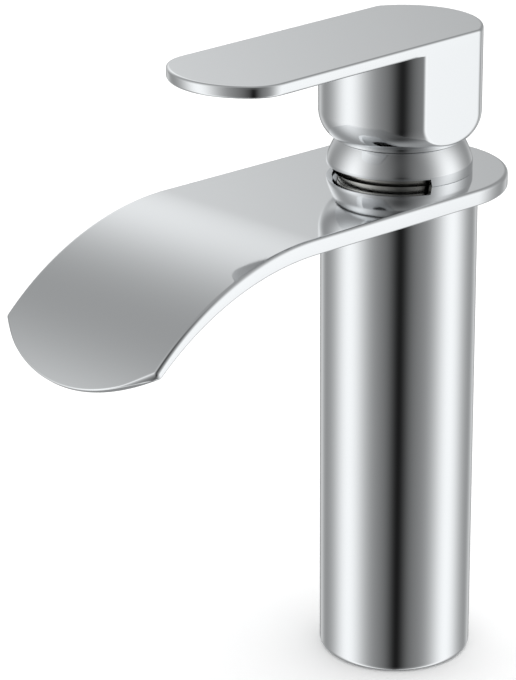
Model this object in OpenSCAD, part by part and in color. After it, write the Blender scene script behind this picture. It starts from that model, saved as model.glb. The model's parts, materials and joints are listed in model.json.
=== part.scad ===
// Tall single-lever basin faucet with an open, curved waterfall spout.
// Millimetres. The origin is the centre of the column's foot on the deck, +Z is up,
// and the spout and the lever point towards -Y.

/* [Column] */
// Height of the spout plate's top face above the deck
plate_top = 165.7; // [150:1:260]
// Wall of the column beside the valve body
column_wall = 3; // [2.4:0.1:3.4]
// Depth of the ledges that the valve body and the base insert seat on
ledge = 1.5; // [1:0.1:2.5]
// Radius that rounds the foot of the column
foot_round = 2; // [0.5:0.1:2.2]

/* [Base insert] */
// Thickness of the base insert
base_t = 10; // [8:0.5:16]
// Length of the slot that both supply hoses pass through
hose_slot_l = 28; // [25:0.5:30]
// Width of the hose slot
hose_slot_w = 12; // [11:0.5:12]
// Distance of the hose slot in front of the column's axis
hose_slot_y = 7.5; // [7:0.1:8.5]
// Distance between the two fixing studs
stud_pitch = 17; // [14:0.5:19]
// Distance of the studs behind the column's axis
stud_y = 9.5; // [6:0.5:10]
// Core radius of the M8 thread in a stud hole
stud_core_r = 3.32; // [2.5:0.01:3.4]
// Radial width of the deck gasket
gasket_w = 2.6; // [1.6:0.1:2.8]
// Height of the deck gasket
gasket_h = 1.8; // [1.2:0.1:3]

/* [Spout plate] */
// How far the plate stands out past the column, all round its back
plate_margin = 9.3; // [5:0.1:14]
// Thickness of the plate round the column
plate_t = 5; // [4:0.1:6]
// Thickness of the plate at the lip that the water leaves
tip_t = 2; // [1.5:0.1:3]
// Length of the level part, from the column's axis to the start of the bend
flat_len = 69; // [45:1:100]
// Radius of the bend, on the top face
bend_r = 90; // [70:1:140]
// Angle through which the plate bends down
bend_angle = 52.8; // [30:0.1:60]
// Radius of the convex lip, seen square to the plate
tip_r = 51; // [40:0.5:80]

/* [Collar] */
// Height of the collar's upright wall above the plate
collar_h = 3.4; // [3.2:0.1:4.4]
// Thickness of that wall
collar_wall = 2; // [1.8:0.1:2.6]
// Thickness of the dome that rises from the wall
dome_t = 1.5; // [1:0.1:2]
// Height of the slot in the collar's foot that lets the water out
water_slot_h = 2.4; // [1:0.1:2.6]
// Angle that the water slot spans round the front
water_slot_angle = 140; // [60:5:150]

/* [Handle] */
// How far the hub stands out past the collar
hub_overhang = 2.5; // [2:0.1:4]
// Height of the hub's top above the collar's wall
hub_h = 43; // [39:0.1:52]
// Height above the collar's wall at which the hub starts to round in
hub_round_h = 16.4; // [15:0.1:18]
// Radius of that rounding
hub_round = 10.5; // [9:0.1:12]
// How deep the two flat sides cut into the hub
flat_cut = 3.1; // [2.5:0.1:3.6]
// Thickness of the hub's wall at its two flat sides
flat_wall = 3.4; // [2.8:0.1:4.4]
// Gap between the hub's lower edge and the collar that it tilts over
lift_gap = 0.4; // [0.3:0.1:0.8]
// Reach of the lever, from the column's axis to its tip
lever_reach = 88; // [75:1:120]
// How much the radius of the lever's convex end exceeds half the lever's width
end_swell = 4.4; // [2:0.1:20]
// Radius of the two corners beside the lever's end
lever_corner_r = 13; // [8:0.5:18]
// Thickness of the lever
lever_t = 3.7; // [3:0.1:6]
// Slope of the lever's top face down to its tip, in degrees
lever_drop = 1; // [0:0.1:2]
// Thickness of the hub's top wall
hub_top_t = 6; // [5:0.5:8]
// Radius of the boss that grips the spindle
boss_r = 10; // [8:0.1:10.4]

/* [Cartridge] */
// Diameter of the ceramic disc cartridge
cartridge_d = 35; // [34:0.5:40]
// Height of the lever's pivot above the cartridge's seat
pivot_h = 30; // [30:0.1:30.4]
// Depth of the lever's pivot below the plate's top face
pivot_drop = 2.7; // [2:0.1:3.5]
// Distance from the pivot down to the ball that drives the moving disc
ball_drop = 14; // [14:0.1:14.4]
// Radius of that ball
ball_r = 3; // [2.6:0.1:3.2]
// Angle that the lever lifts through
lift_angle = 20; // [12:1:20]
// Angle that the lever turns through to each side
swing_angle = 50; // [30:1:50]
// Width of the spindle, along the pivot pin
spindle_w = 8; // [7:0.1:9]
// Depth of the spindle, across the pivot pin
spindle_d = 9; // [8:0.1:9.4]
// Radius of the pivot pin
pin_r = 1.6; // [1.2:0.1:2]
// Radius of the water ways from the inlets
inlet_r = 2.4; // [1.8:0.1:2.6]
// Radius of the water way to the outlet
outlet_r = 3.6; // [3:0.1:4]
// Core radius of the M10 thread that a supply hose screws into
hose_core_r = 4.46; // [4:0.01:4.6]
// Distance between the two supply hoses
hose_pitch = 16; // [14:0.5:17]

/* [Valve body] */
// Wall of the cup that holds the cartridge
cup_wall = 1.9; // [1.6:0.1:2.4]
// Width of the water gallery between the cup and the column
gallery = 2.5; // [2.2:0.1:3]
// Width of the water ring between the cup and the collar
water_ring = 1.7; // [1.4:0.1:2]
// Depth of the valve body below the cartridge's seat
valve_depth = 21; // [20:0.5:30]
// Height of the valve body's flange
valve_flange_h = 12; // [12:0.5:14]

/* [Fixings] */
// Radius of the M5 set screw that clamps the handle to the spindle
screw_r = 2.5; // [2:0.1:2.6]
// Length of the set screw
screw_l = 5; // [4:0.1:5.2]
// Distance of the plug over the set screw above the hub's rounding
plug_lift = 0.6; // [0.3:0.1:4]
// Radius of the plug that covers the set screw's access hole
plug_r = 4; // [3.2:0.1:4.4]

/* [Hidden] */
$fn = 96;

// Clearances: a snug fit, a running fit, and the gap between parts that move past each other
snug = 0.05;
running = 0.06;
slide_gap = 0.1;
play = 0.3;
// Gap beside the boss when it tilts inside the dome
boss_gap = 0.8;
// Cuts run past the faces that they cut by this much
past = 1;

// Radii, from the cartridge outwards
cart_r = cartridge_d / 2;
cup_bore_r = cart_r + slide_gap;
cup_r = cup_bore_r + cup_wall;
skirt_in_r = cup_r + water_ring;
collar_r = skirt_in_r + collar_wall;
column_bore_r = cup_r + gallery;
column_r = column_bore_r + column_wall;
lower_bore_r = column_bore_r - ledge;
plate_r = column_r + plate_margin;
flange_r = column_bore_r - snug;

// Heights, from the deck upwards
plate_bottom = plate_top - plate_t;
collar_z = plate_top + collar_h;
hub_round_z = collar_z + hub_round_h;
hub_top = collar_z + hub_h;
pivot_z = plate_top - pivot_drop;
seat_z = pivot_z - pivot_h;
valve_z = seat_z - valve_depth;

// The dome and the hub's lower edge lie on spheres round the pivot, so the hub clears the
// collar at every tilt
dome_r = norm([collar_r, collar_z - pivot_z]);
dome_in_r = dome_r - dome_t;
dome_hole_r = dome_r * sin(asin((boss_r + boss_gap) / dome_r) + lift_angle);
hub_clear_r = dome_r + lift_gap;
thread_in_r = cup_r + slide_gap;
cup_top = pivot_z + sqrt(dome_in_r * dome_in_r - thread_in_r * thread_in_r) - play;

// Cartridge: its stack of discs, from the seat upwards
seal_h = 1.6;
seal_w = 1.5;
plinth_h = 2;
cart_base_t = 5.5;
disc_t = 3;
casing_wall = 1.9;
casing_in_r = cart_r - casing_wall;
disc_z = seat_z + cart_base_t;
moving_z = disc_z + disc_t + snug;
slider_z = moving_z + disc_t - snug;
slider_h = 6.5;
carrier_z = slider_z + 0.5;
pocket_top = slider_z + slider_h + play;
shoulder_h = 25.5;
shoulder_z = seat_z + shoulder_h;
casing_roof = 2.3;
neck_h = 10;
casing_top = shoulder_z + neck_h;
neck_step = 3.5;
neck_wall = 1.4;
neck_out_r = cart_r - neck_step;
neck_in_r = neck_out_r - neck_wall;
carrier_neck_r = neck_in_r - running;
carrier_r = casing_in_r - play;
fixed_disc_r = casing_in_r - 1.2;
rim_h = 2;
disc_inset = 6;
moving_disc_r = cart_r - disc_inset;
stop_h = 1.5;
stop_lug_angle = 12;

// Travel of the moving disc while the lever lifts, and its middle
travel = ball_drop * sin(lift_angle);
disc_mid = travel / 2;
shank_r = ball_r - 0.8;
slider_w = 16;
slider_l = 18;
mixing_r = 6.6;
mixing_y = 0.6;
mixing_depth = 1.8;
peg_r = 1.5;
peg_h = 0.8;
peg_x = 5;

// Water ways: both inlets lie in front, the outlet behind
inlet_at = 6.08;
outlet_at = 6.2;
port_wall = 0.6;
locator_x = 12.5;
locator_y = 4;
locator_r = 1.9;
locator_h = 2.5;

// Valve body
ring_section_r = 1.1;
ring_groove_h = 3.2;
ring_groove_up = 5;
ring_groove_z = valve_z + ring_groove_up;
ring_floor_r = flange_r - 2 * ring_section_r - 0.02;
small_ring_r = 0.6;
small_groove_drop = 2;
// Height of the collar's thread above the water slot
thread_drop = 0.8;
small_groove_z = cup_top - small_groove_drop;
nut_in_r = neck_out_r + play;
nut_top = casing_top - 0.5;
nut_notch_w = 3;
nut_notch_h = 1.8;
nut_notches = 6;
// Hose ports: distance in front of the axis
hose_y = 6.5;

// Handle
hub_r = collar_r + hub_overhang;
lever_half = hub_r - flat_cut;
cavity_r = lever_half - flat_wall;
// Lever's end: an arc across the tip, and an arc at each corner that meets it at a tangent
lever_end_r = lever_half + end_swell;
end_y = lever_reach - lever_end_r;
corner_x = lever_half - lever_corner_r;
corner_run = sqrt(pow(lever_end_r - lever_corner_r, 2) - corner_x * corner_x);
cavity_top = hub_top - hub_top_t;
// The boss starts high enough to tilt over the casing
boss_lift = 1.6;
boss_z = pivot_z + (casing_top - pivot_z + boss_r * sin(lift_angle) + boss_lift) / cos(lift_angle);
socket_gap = 0.05;
plug_shank_r = plug_r - 0.8;
plug_cap_t = 1.4;
plug_shank_l = 3.4;
screw_height = hub_round_z + plug_r + plug_lift;
spindle_end = 1.5;
spindle_top = screw_height + screw_r + spindle_end;
hex_r = screw_r * 0.58;

// Spout plate: the underside's arc starts with the bend and ends at the lip's thickness
tip_y = flat_len + bend_r * sin(bend_angle);
tip_z = plate_top - bend_r * (1 - cos(bend_angle));
under_run = tip_y - flat_len - tip_t * sin(bend_angle);
under_fall = plate_bottom - (tip_z - tip_t * cos(bend_angle));
under_r = (under_run * under_run + under_fall * under_fall) / (2 * under_fall);

// Ring with a square section
module ring(outer, inner, height) {
    difference() {
        cylinder(r = outer, h = height);
        translate([0, 0, -past]) cylinder(r = inner, h = height + 2 * past);
    }
}

// Round ring, such as an O-ring
module round_ring(middle, section) {
    rotate_extrude() translate([middle, 0]) circle(r = section, $fn = 48);
}

// Plane wedge of a half angle about +Y, wider than a circle of radius r
module wedge(r, half) {
    polygon([[0, 0], [-2 * r * sin(half), 2 * r * cos(half)], [0, 4 * r],
        [2 * r * sin(half), 2 * r * cos(half)]]);
}

// Both inlets, as vertical holes or rings placed by this module
module at_inlets() {
    for (side = [-1, 1]) translate([side * inlet_at, -inlet_at, 0]) children();
}

// Outlet
module at_outlet() {
    translate([0, outlet_at, 0]) children();
}

// Slot with round ends along X
module obround(length, width) {
    square([length - width, width], center = true);
    for (side = [-1, 1]) translate([side * (length - width) / 2, 0]) circle(d = width);
}

// Column: a turned tube with a ledge at each end and a rounded foot
module column() {
    color([0.80, 0.81, 0.82]) difference() {
        rotate_extrude() {
            translate([lower_bore_r, foot_round])
                square([column_r - lower_bore_r, plate_bottom - foot_round]);
            translate([lower_bore_r, 0])
                square([column_r - foot_round - lower_bore_r, foot_round + past]);
            intersection() {
                translate([column_r - foot_round, foot_round]) circle(r = foot_round);
                translate([column_r - foot_round, 0]) square([foot_round, foot_round + past]);
            }
        }
        translate([0, 0, valve_z]) cylinder(r = column_bore_r, h = plate_bottom);
        translate([0, 0, -past]) cylinder(r = column_bore_r, h = base_t + past);
    }
}

// Base insert: carries the two stud holes and lets the hoses through
module base_insert() {
    gasket_out_r = flange_r - 0.8;
    color([0.78, 0.64, 0.36]) difference() {
        cylinder(r = flange_r, h = base_t);
        translate([0, -hose_slot_y, -past]) linear_extrude(base_t + 2 * past)
            obround(hose_slot_l, hose_slot_w);
        for (side = [-1, 1]) translate([side * stud_pitch / 2, stud_y, -past])
            cylinder(r = stud_core_r, h = base_t + 2 * past);
        translate([0, 0, -past]) ring(gasket_out_r, gasket_out_r - gasket_w, gasket_h + past);
    }
}

// Gasket that seals the foot to the deck
module base_gasket() {
    gasket_out_r = flange_r - 0.8;
    color([0.12, 0.12, 0.12]) ring(gasket_out_r, gasket_out_r - gasket_w, gasket_h);
}

// Side view of the spout plate, with Y along X: level, then bent down and thinning to its lip
module plate_profile() {
    translate([-flat_len, plate_bottom]) square([flat_len + plate_r + past, plate_t]);
    intersection() {
        difference() {
            translate([-flat_len, plate_top - bend_r]) circle(r = bend_r, $fn = 360);
            translate([-flat_len, plate_bottom - under_r]) circle(r = under_r, $fn = 360);
        }
        translate([-flat_len - 2 * bend_r, plate_top - bend_r]) square([2 * bend_r, bend_r]);
    }
}

// Spout plate: the open waterfall tongue, round at the back and convex at its lip
module spout_plate() {
    reach = tip_y + past;
    cutter_back = tip_r - sqrt(tip_r * tip_r - plate_r * plate_r) + 4;
    color([0.84, 0.85, 0.86]) difference() {
        intersection() {
            rotate([90, 0, 90]) translate([0, 0, -plate_r - past])
                linear_extrude(2 * (plate_r + past)) plate_profile();
            linear_extrude(2 * plate_top) union() {
                circle(r = plate_r);
                translate([-plate_r, -reach]) square([2 * plate_r, reach]);
            }
        }
        translate([0, 0, plate_bottom - past]) cylinder(r = skirt_in_r, h = plate_t + 2 * past);
        translate([0, -tip_y, tip_z]) rotate([bend_angle, 0, 0]) difference() {
            translate([-2 * plate_r, -2 * bend_r, -4 * plate_t])
                cube([4 * plate_r, 2 * bend_r + cutter_back, 8 * plate_t]);
            translate([0, tip_r, -5 * plate_t]) cylinder(r = tip_r, h = 10 * plate_t, $fn = 180);
        }
    }
}

// Valve body: flange with the hose threads, and the cup that holds the cartridge
module valve_body() {
    outlet_floor = valve_z + valve_flange_h - 3;
    color([0.78, 0.64, 0.36]) difference() {
        union() {
            translate([0, 0, valve_z]) cylinder(r = flange_r, h = valve_flange_h);
            translate([0, 0, valve_z]) cylinder(r = cup_r, h = cup_top - valve_z);
        }
        translate([0, 0, seat_z]) cylinder(r = cup_bore_r, h = cup_top);
        at_inlets() translate([0, 0, valve_z + valve_flange_h - 2])
            cylinder(r = inlet_r + port_wall, h = valve_depth);
        for (side = [-1, 1]) translate([side * hose_pitch / 2, -hose_y, valve_z - past])
            cylinder(r = hose_core_r, h = valve_flange_h + past);
        at_outlet() translate([0, 0, outlet_floor])
            cylinder(r = outlet_r + 0.4, h = seat_z - outlet_floor + past);
        translate([0, outlet_at, valve_z + valve_flange_h + outlet_r + port_wall]) rotate([-90, 0, 0])
            cylinder(r = outlet_r - 0.4, h = cup_r);
        for (side = [-1, 1]) translate([side * locator_x, locator_y, seat_z - locator_h - play])
            cylinder(r = locator_r + slide_gap, h = locator_h + play + past, $fn = 32);
        translate([0, 0, ring_groove_z]) ring(column_r, ring_floor_r, ring_groove_h);
        translate([0, 0, small_groove_z])
            ring(column_r, cup_r - 2 * small_ring_r + slide_gap, 2 * small_ring_r + 0.2);
    }
}

// O-ring that seals the valve body in the column
module valve_o_ring() {
    color([0.12, 0.12, 0.12])
        translate([0, 0, ring_groove_z + ring_groove_h / 2])
            round_ring(ring_floor_r + ring_section_r + 0.01, ring_section_r);
}

// Cartridge base: plugs the casing, carries the seals and lets the water through
module cartridge_base() {
    plug_out_r = casing_in_r - snug;
    color([0.92, 0.92, 0.90]) difference() {
        union() {
            translate([0, 0, seat_z]) cylinder(r = cart_r - 0.2, h = plinth_h);
            translate([0, 0, seat_z]) cylinder(r = plug_out_r, h = cart_base_t);
            translate([0, 0, disc_z - past]) ring(plug_out_r, fixed_disc_r + slide_gap, rim_h + past);
            for (side = [-1, 1]) translate([side * locator_x, locator_y, seat_z - locator_h])
                cylinder(r = locator_r, h = locator_h + past, $fn = 32);
        }
        for (z = [seat_z - past, disc_z - seal_h]) translate([0, 0, z]) {
            at_inlets() cylinder(r = inlet_r + seal_w, h = seal_h + past);
            at_outlet() cylinder(r = outlet_r + seal_w, h = seal_h + past);
        }
        translate([0, 0, seat_z - past]) {
            at_inlets() cylinder(r = inlet_r, h = cart_base_t + 2 * past);
            at_outlet() cylinder(r = outlet_r, h = cart_base_t + 2 * past);
        }
    }
}

// Three rubber rings round the water ways
module seal_set() {
    at_inlets() ring(inlet_r + seal_w, inlet_r, seal_h);
    at_outlet() ring(outlet_r + seal_w, outlet_r, seal_h);
}

// Seals between the cartridge and its seat
module port_seals() {
    color([0.12, 0.12, 0.12]) translate([0, 0, seat_z]) seal_set();
}

// Seals between the cartridge base and the fixed disc
module disc_seals() {
    color([0.12, 0.12, 0.12]) translate([0, 0, disc_z - seal_h]) seal_set();
}

// Fixed ceramic disc
module fixed_disc() {
    color([0.95, 0.94, 0.90]) translate([0, 0, disc_z]) difference() {
        cylinder(r = fixed_disc_r, h = disc_t);
        translate([0, 0, -past]) {
            at_inlets() cylinder(r = inlet_r, h = disc_t + 2 * past);
            at_outlet() cylinder(r = outlet_r, h = disc_t + 2 * past);
        }
    }
}

// Cartridge casing: the shell that turns the stack into one unit, with the swing stop's notch
module cartridge_casing() {
    skirt_z = seat_z + plinth_h;
    color([0.25, 0.45, 0.62]) difference() {
        union() {
            translate([0, 0, skirt_z]) cylinder(r = cart_r, h = shoulder_z - skirt_z);
            translate([0, 0, shoulder_z - past]) cylinder(r = neck_out_r, h = casing_top - shoulder_z + past);
        }
        translate([0, 0, skirt_z - past])
            cylinder(r = casing_in_r, h = shoulder_z - casing_roof - skirt_z + past);
        translate([0, 0, skirt_z]) cylinder(r = neck_in_r, h = casing_top);
        translate([0, 0, casing_top - stop_h]) linear_extrude(stop_h + past)
            wedge(neck_out_r, swing_angle + stop_lug_angle);
    }
}

// Nut that holds the cartridge down in the cup
module cartridge_nut() {
    color([0.80, 0.68, 0.40]) difference() {
        translate([0, 0, shoulder_z]) ring(cart_r + snug, nut_in_r, nut_top - shoulder_z);
        for (i = [0 : nut_notches - 1]) rotate([0, 0, i * 360 / nut_notches])
            translate([nut_in_r - past, -nut_notch_w / 2, nut_top - nut_notch_h])
                cube([cart_r, nut_notch_w, nut_notch_h + past]);
    }
}

// Collar: a wall and dome over the nut, which clamps the plate, with the water slot in its foot
module collar() {
    thread_z = plate_top + water_slot_h + thread_drop;
    front = collar_r * cos(water_slot_angle / 2);
    half = collar_r * sin(water_slot_angle / 2);
    color([0.80, 0.81, 0.82]) difference() {
        rotate_extrude() difference() {
            intersection() {
                translate([0, pivot_z]) circle(r = dome_r, $fn = 180);
                translate([dome_hole_r, plate_top]) square([collar_r - dome_hole_r, 2 * dome_r]);
            }
            translate([0, plate_top - past]) square([skirt_in_r, thread_z - plate_top + past]);
            intersection() {
                translate([0, pivot_z]) circle(r = dome_in_r, $fn = 180);
                translate([0, plate_top]) square([thread_in_r, 2 * dome_r]);
            }
        }
        translate([-half, -2 * collar_r, plate_top - past])
            cube([2 * half, 2 * collar_r - front, water_slot_h + past]);
    }
}

// O-ring that keeps the water below the collar's top
module collar_o_ring() {
    color([0.12, 0.12, 0.12]) translate([0, 0, small_groove_z + small_ring_r + 0.1])
        round_ring(cup_r - small_ring_r + slide_gap + 0.01, small_ring_r - 0.02);
}

// Carrier: turns with the lever, guides the slider and holds the pivot pin
module spindle_carrier() {
    neck_z = shoulder_z - casing_roof - 0.2;
    carrier_top = casing_top - 0.2;
    slot_front = travel + ball_r + play;
    slot_back = (carrier_top - pivot_z) * tan(lift_angle) + spindle_d / 2 / cos(lift_angle) + play;
    pocket_l = slider_l + travel + 2 * play;
    color([0.93, 0.93, 0.91]) difference() {
        union() {
            translate([0, 0, carrier_z]) cylinder(r = carrier_r, h = neck_z - carrier_z);
            translate([0, 0, carrier_z]) cylinder(r = carrier_neck_r, h = carrier_top - carrier_z);
            translate([0, 0, casing_top - stop_h + 0.2]) linear_extrude(stop_h - 0.4) intersection() {
                circle(r = neck_out_r - 0.3);
                wedge(neck_out_r, stop_lug_angle);
            }
        }
        translate([-slider_w / 2 - slide_gap, -pocket_l / 2, carrier_z - past])
            cube([slider_w + 2 * slide_gap, pocket_l, pocket_top - carrier_z + past]);
        translate([-spindle_w / 2 - slide_gap, -slot_front, carrier_z])
            cube([spindle_w + 2 * slide_gap, slot_front + slot_back, casing_top]);
        translate([-cart_r, 0, pivot_z]) rotate([0, 90, 0]) cylinder(r = pin_r + 0.02, h = 2 * cart_r, $fn = 48);
    }
}

// Pivot pin
module pivot_pin() {
    pin_l = 2 * (carrier_neck_r - 1);
    color([0.70, 0.71, 0.73]) translate([-pin_l / 2, 0, pivot_z]) rotate([0, 90, 0])
        cylinder(r = pin_r, h = pin_l, $fn = 48);
}

// Moving ceramic disc, with the hollow that joins the inlets to the outlet
module moving_disc() {
    color([0.95, 0.94, 0.90]) translate([0, disc_mid, moving_z]) difference() {
        cylinder(r = moving_disc_r, h = disc_t - snug);
        translate([0, mixing_y, -past]) cylinder(r = mixing_r, h = mixing_depth + past);
        for (side = [-1, 1]) translate([side * peg_x, 0, disc_t - snug - peg_h - 0.2])
            cylinder(r = peg_r + snug, h = peg_h + past, $fn = 32);
    }
}

// Slider: turns the ball's swing into the moving disc's travel
module disc_slider() {
    color([0.93, 0.93, 0.91]) difference() {
        union() {
            translate([-slider_w / 2, disc_mid - slider_l / 2, slider_z]) cube([slider_w, slider_l, slider_h]);
            for (side = [-1, 1]) translate([side * peg_x, disc_mid, slider_z - peg_h])
                cylinder(r = peg_r, h = peg_h + past, $fn = 32);
        }
        translate([0, 0, pivot_z - ball_drop - ball_r - 0.6])
            cylinder(r = ball_r + running + 0.02, h = slider_h + ball_r);
    }
}

// Spindle: the stem that the handle grips, its pivot and the ball at its foot
module spindle() {
    color([0.76, 0.64, 0.38]) difference() {
        union() {
            translate([-spindle_w / 2, -spindle_d / 2, pivot_z])
                cube([spindle_w, spindle_d, spindle_top - pivot_z]);
            translate([-spindle_w / 2, 0, pivot_z]) rotate([0, 90, 0])
                cylinder(r = spindle_d / 2, h = spindle_w);
            translate([0, 0, pivot_z - ball_drop]) cylinder(r = shank_r, h = ball_drop, $fn = 48);
            translate([0, 0, pivot_z - ball_drop]) sphere(r = ball_r, $fn = 48);
        }
        translate([-spindle_w, 0, pivot_z]) rotate([0, 90, 0])
            cylinder(r = pin_r + running, h = 2 * spindle_w, $fn = 48);
    }
}

// Plan of the lever, from the hub's middle: a strip that the handle's sides trim, and three arcs
module lever_plan() {
    translate([-hub_r, -end_y - corner_run]) square([2 * hub_r, end_y + corner_run]);
    for (side = [-1, 1]) translate([side * corner_x, -end_y - corner_run])
        circle(r = lever_corner_r, $fn = 180);
    translate([0, -end_y]) intersection() {
        circle(r = lever_end_r, $fn = 180);
        polygon([[0, 0], [-4 * corner_x, -4 * corner_run], [4 * corner_x, -4 * corner_run]]);
    }
}

// Outline of half the hub: upright wall, and below it an arc that draws in
module hub_profile() {
    translate([0, hub_round_z]) square([hub_r, hub_h]);
    translate([hub_r - hub_round, hub_round_z]) intersection() {
        circle(r = hub_round, $fn = 180);
        translate([0, -hub_round]) square([hub_round, hub_round + past]);
    }
}

// Hub, hollow below, with a boss round the spindle
module hub_body() {
    rotate_extrude() {
        difference() {
            hub_profile();
            translate([0, pivot_z]) square([cavity_r, cavity_top - pivot_z]);
            translate([0, pivot_z]) circle(r = hub_clear_r, $fn = 180);
        }
        translate([0, boss_z]) square([boss_r, cavity_top - boss_z + past]);
    }
}

// Handle: hub and lever in one casting, trimmed to one width
module handle() {
    color([0.82, 0.83, 0.84]) difference() {
        intersection() {
            union() {
                hub_body();
                translate([0, 0, hub_top]) rotate([lever_drop, 0, 0]) translate([0, 0, -lever_t])
                    linear_extrude(lever_t) lever_plan();
            }
            translate([-lever_half, -2 * lever_reach, 0])
                cube([2 * lever_half, 4 * lever_reach, 2 * hub_top]);
        }
        translate([0, 0, hub_top]) rotate([lever_drop, 0, 0])
            translate([-lever_reach, -2 * lever_reach, 0])
                cube([2 * lever_reach, 4 * lever_reach, hub_h]);
        translate([-spindle_w / 2 - socket_gap, -spindle_d / 2 - socket_gap, boss_z - past])
            cube([spindle_w + 2 * socket_gap, spindle_d + 2 * socket_gap, spindle_top + play - boss_z + past]);
        translate([0, 0, screw_height]) rotate([-90, 0, 0]) {
            cylinder(r = screw_r + 0.02, h = boss_r + past, $fn = 48);
            translate([0, 0, boss_r + past]) cylinder(r = plug_shank_r + snug, h = hub_r);
        }
        index_cap(plug_r + snug, plug_cap_t + snug, past);
    }
}

// Cap of the index plug: a disc whose face follows the hub, or the recess for it
module index_cap(radius, depth, proud) {
    translate([0, 0, screw_height]) rotate([-90, 0, 0])
        translate([0, 0, hub_r - depth]) cylinder(r = radius, h = depth + proud);
}

// Set screw in the boss, with a hexagon socket
module set_screw() {
    color([0.35, 0.36, 0.38]) translate([0, spindle_d / 2 + 0.02, screw_height]) rotate([-90, 0, 0])
        difference() {
            cylinder(r = screw_r, h = screw_l, $fn = 48);
            translate([0, 0, screw_l / 2]) cylinder(r = hex_r, h = screw_l, $fn = 6);
        }
}

// Plug that covers the set screw's access hole, flush with the back of the hub
module index_plug() {
    color([0.80, 0.81, 0.82]) intersection() {
        union() {
            index_cap(plug_r, plug_cap_t, past);
            translate([0, 0, screw_height]) rotate([-90, 0, 0])
                translate([0, 0, hub_r - plug_shank_l]) cylinder(r = plug_shank_r, h = plug_shank_l - past / 2);
        }
        translate([0, 0, hub_round_z]) cylinder(r = hub_r, h = hub_h, $fn = 180);
    }
}

column();
base_insert();
base_gasket();
spout_plate();
valve_body();
valve_o_ring();
cartridge_base();
port_seals();
disc_seals();
fixed_disc();
cartridge_casing();
cartridge_nut();
collar();
collar_o_ring();
spindle_carrier();
pivot_pin();
moving_disc();
disc_slider();
spindle();
handle();
set_screw();
index_plug();
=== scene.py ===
"""Looks of a tall waterfall basin faucet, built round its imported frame.

The chrome pieces that show are new surfaces with the rounded edges that polishing leaves. Every
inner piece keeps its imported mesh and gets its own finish. The studio is a plain pale floor under
soft light. Sizes are in millimetres until a mesh is made, and angles in degrees.
"""

import json
import logging
import math
from dataclasses import dataclass
from enum import Enum
from typing import Any, Sequence

import bmesh
import bpy
import numpy as np
from bpy.types import Material, Node, NodeSocket, NodeTree, Object
from mathutils import Matrix, Vector


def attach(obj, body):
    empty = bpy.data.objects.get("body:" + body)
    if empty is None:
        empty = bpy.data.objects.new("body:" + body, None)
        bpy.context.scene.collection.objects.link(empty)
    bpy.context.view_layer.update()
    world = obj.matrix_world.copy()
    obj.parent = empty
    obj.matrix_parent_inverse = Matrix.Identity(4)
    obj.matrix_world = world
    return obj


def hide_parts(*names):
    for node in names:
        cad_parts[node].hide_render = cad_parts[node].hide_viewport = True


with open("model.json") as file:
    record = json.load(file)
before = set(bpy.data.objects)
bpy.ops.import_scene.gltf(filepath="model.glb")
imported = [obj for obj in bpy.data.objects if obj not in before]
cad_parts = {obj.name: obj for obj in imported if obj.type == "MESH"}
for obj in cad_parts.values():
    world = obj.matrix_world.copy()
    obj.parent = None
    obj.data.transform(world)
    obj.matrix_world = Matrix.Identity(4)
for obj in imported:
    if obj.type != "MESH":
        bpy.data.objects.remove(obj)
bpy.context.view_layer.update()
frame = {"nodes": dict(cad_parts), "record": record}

# Two numbers, such as the ends of a span, or a radius and a height
Pair = tuple[float, float]

LOG = logging.getLogger("faucet")
MM = 0.001

# Metres under which two points are one, and an edge is dropped
SAME_PLACE = 2e-6
SLIVER = 1e-6
# Angle past which an edge stays sharp
CREASE = 40.0
# Distance of the row of points that keeps a face flat beside its rounding
KEEP = 0.15
# Place of the ring round a face's middle, as a share of its width, at the top and in a socket
FIRST_RING = 0.02
LAST_RING = 0.05
# Least sine or cosine that a length is divided by
LEAST = 1e-6
# Length of one wave in the wave texture's own unit
WAVE_UNIT = math.pi / 10.0

# Sizes that several pieces share
PLATE_TOP = 165.7
PIVOT_HEIGHT = 163.0
HUB_RADIUS = 25.7
PLUG_HEIGHT = 190.1


class Body(Enum):
    """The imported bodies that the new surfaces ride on."""

    FIXED = "body"
    LEVER = "lever"


class Slot(Enum):
    """The record's finishes."""

    CHROME = "polished_chrome"
    BRASS = "machined_brass"
    RUBBER = "black_rubber"
    ACETAL = "white_acetal"
    NYLON = "blue_nylon"
    ALUMINA = "alumina"
    STEEL = "steel"


class Kind(Enum):
    """Blender's names for the nodes of the finishes and the room."""

    COORDINATES = "ShaderNodeTexCoord"
    NOISE = "ShaderNodeTexNoise"
    WAVE = "ShaderNodeTexWave"
    RANGE = "ShaderNodeMapRange"
    RAMP = "ShaderNodeValToRGB"
    BUMP = "ShaderNodeBump"
    SURFACE = "ShaderNodeBsdfPrincipled"
    MATERIAL = "ShaderNodeOutputMaterial"
    MATHS = "ShaderNodeMath"
    VECTOR = "ShaderNodeVectorMath"
    BACKGROUND = "ShaderNodeBackground"
    LIGHT_PATH = "ShaderNodeLightPath"
    MIX = "ShaderNodeMixShader"
    WORLD = "ShaderNodeOutputWorld"


def unit(vectors: np.ndarray) -> np.ndarray:
    """Vectors divided by their lengths."""
    return vectors / np.linalg.norm(vectors, axis=-1, keepdims=True)


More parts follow.
